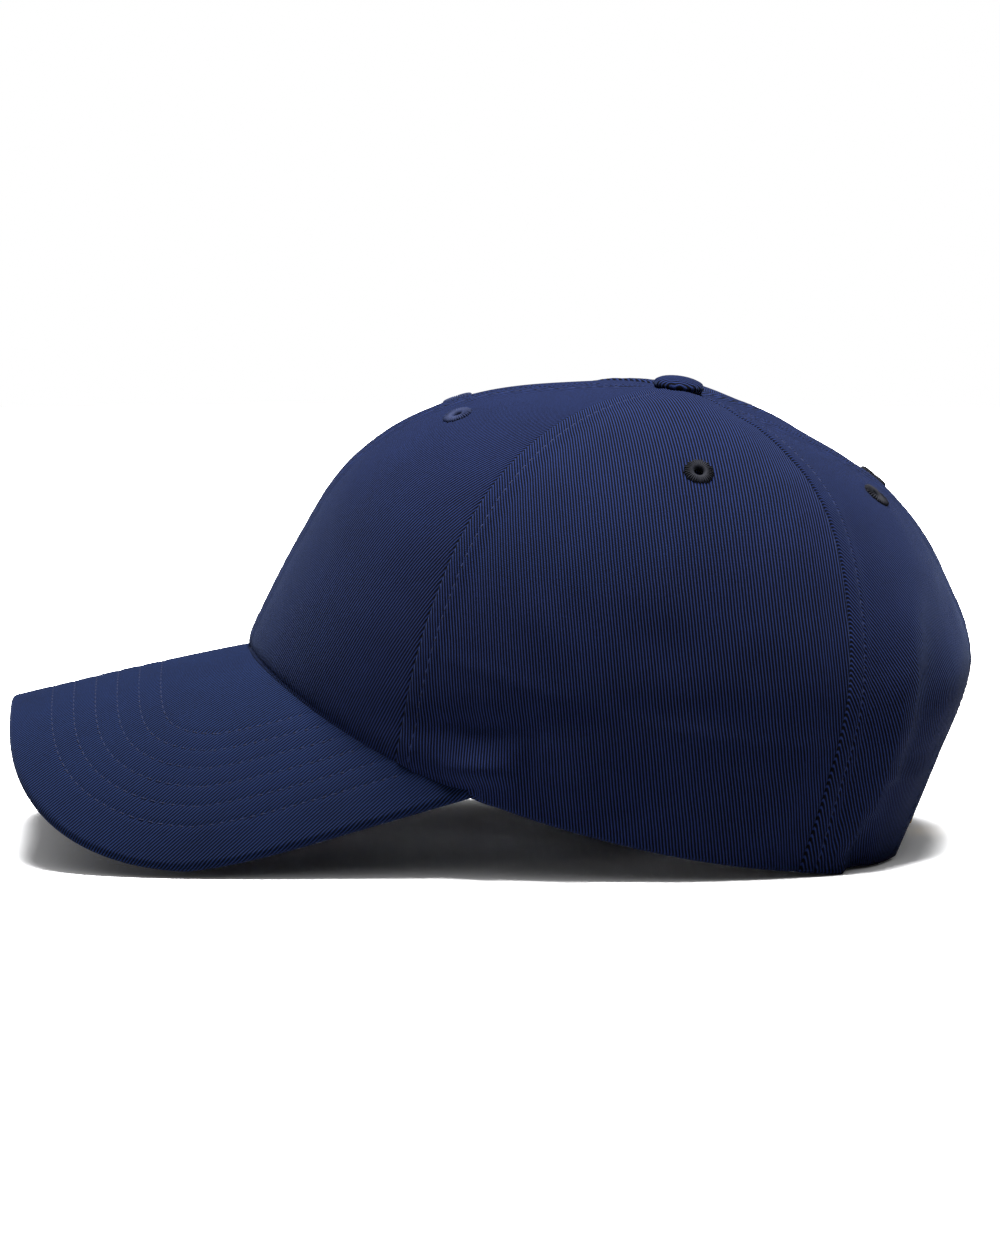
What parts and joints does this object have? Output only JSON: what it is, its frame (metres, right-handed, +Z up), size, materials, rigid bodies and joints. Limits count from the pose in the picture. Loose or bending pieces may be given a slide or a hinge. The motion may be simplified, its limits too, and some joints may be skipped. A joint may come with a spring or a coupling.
{
  "type": "baseball cap",
  "caption": "Panelled baseball cap with a curved visor, covered button, stitched eyelets, sweatband and a back strap sliding through a lever clasp.",
  "frame": {"origin": "centre of the cap's box at its bottom, on the surface that the cap stands on", "axes": "+Y towards the back of the cap, so the visor points along -Y; +X towards the wearer's left; +Z up"},
  "size_m": [0.1718, 0.2783, 0.1342],
  "materials": {
    "cotton_twill": "navy cotton twill, matt, fine diagonal rib",
    "visor_twill": "navy cotton twill stretched over the visor board, matt",
    "eyelet_thread": "dark navy satin stitch",
    "seam_tape": "plain woven navy tape",
    "stiffener_mesh": "stiff white gauze",
    "visor_board": "moulded polyethylene board",
    "antique_brass": "antique brass, lightly worn",
    "button_metal": "pressed metal",
    "label_fabric": "blank woven satin label"
  },
  "bodies": {
    "root": {"front_panel_left": "cotton_twill", "front_panel_right": "cotton_twill", "side_panel_left": "cotton_twill", "side_panel_right": "cotton_twill", "back_panel_left": "cotton_twill", "back_panel_right": "cotton_twill", "front_eyelet_left": "eyelet_thread", "front_eyelet_right": "eyelet_thread", "side_eyelet_left": "eyelet_thread", "side_eyelet_right": "eyelet_thread", "back_eyelet_left": "eyelet_thread", "back_eyelet_right": "eyelet_thread", "front_centre_seam_tape": "seam_tape", "back_centre_seam_tape": "seam_tape", "front_seam_tape_left": "seam_tape", "front_seam_tape_right": "seam_tape", "back_seam_tape_left": "seam_tape", "back_seam_tape_right": "seam_tape", "front_stiffener": "stiffener_mesh", "arch_binding": "cotton_twill", "sweatband": "cotton_twill", "care_label": "label_fabric", "button_cover": "cotton_twill", "button_core": "button_metal", "button_washer": "button_metal", "visor_top_cover": "visor_twill", "visor_board": "visor_board", "visor_under_cover": "visor_twill", "clasp_tab": "cotton_twill", "clasp_frame": "antique_brass", "clasp_pin": "antique_brass"},
    "strap": {"strap": "cotton_twill"},
    "clasp_lever": {"clasp_lever": "antique_brass"}
  },
  "joints": [
    {"name": "clasp_lever_hinge", "type": "hinge", "parent": "root", "child": "clasp_lever", "pos_m": [-0.02233, 0.12287, 0.01231], "axis": [-0.0345, 0.3286, 0.9438], "range_deg": [0, 110]},
    {"name": "strap_slide", "type": "hinge", "parent": "root", "child": "strap", "pos_m": [0, -0.03218, 0.013], "axis": [0, 0, 1], "range_deg": [-1.5, 5]}
  ]
}
